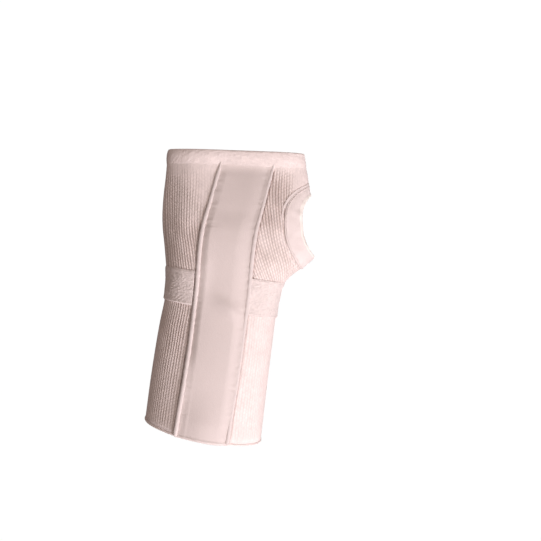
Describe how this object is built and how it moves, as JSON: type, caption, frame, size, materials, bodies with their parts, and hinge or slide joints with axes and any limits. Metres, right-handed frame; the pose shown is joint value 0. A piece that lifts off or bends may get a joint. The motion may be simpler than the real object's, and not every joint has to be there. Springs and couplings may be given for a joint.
{
  "type": "wrist brace",
  "caption": "Slip-on elastic wrist brace for a right hand: ribbed knit sleeve with a thumb hole, a wrist band and a splint pocket down the palm.",
  "frame": {"origin": "middle of the wrist, on the axis of the sleeve", "axes": "+Z along the forearm towards the fingers, +X towards the thumb, -Y out of the palm"},
  "size_m": [0.1094, 0.0613, 0.2013],
  "materials": {
    "rib_knit": "ribbed elastic knit",
    "hem_knit": "plain folded knit",
    "woven_elastic": "woven elastic",
    "binding_elastic": "plain elastic binding",
    "pocket_cloth": "smooth brushed cloth",
    "piping_cloth": "rolled seam cloth"
  },
  "bodies": {
    "root": {"sleeve": "rib_knit", "finger_hem": "hem_knit", "forearm_hem": "hem_knit", "wrist_band": "woven_elastic", "thumb_binding": "binding_elastic", "splint_pocket": "pocket_cloth", "pocket_piping_ulnar": "piping_cloth", "pocket_piping_radial": "piping_cloth"}
  },
  "joints": []
}
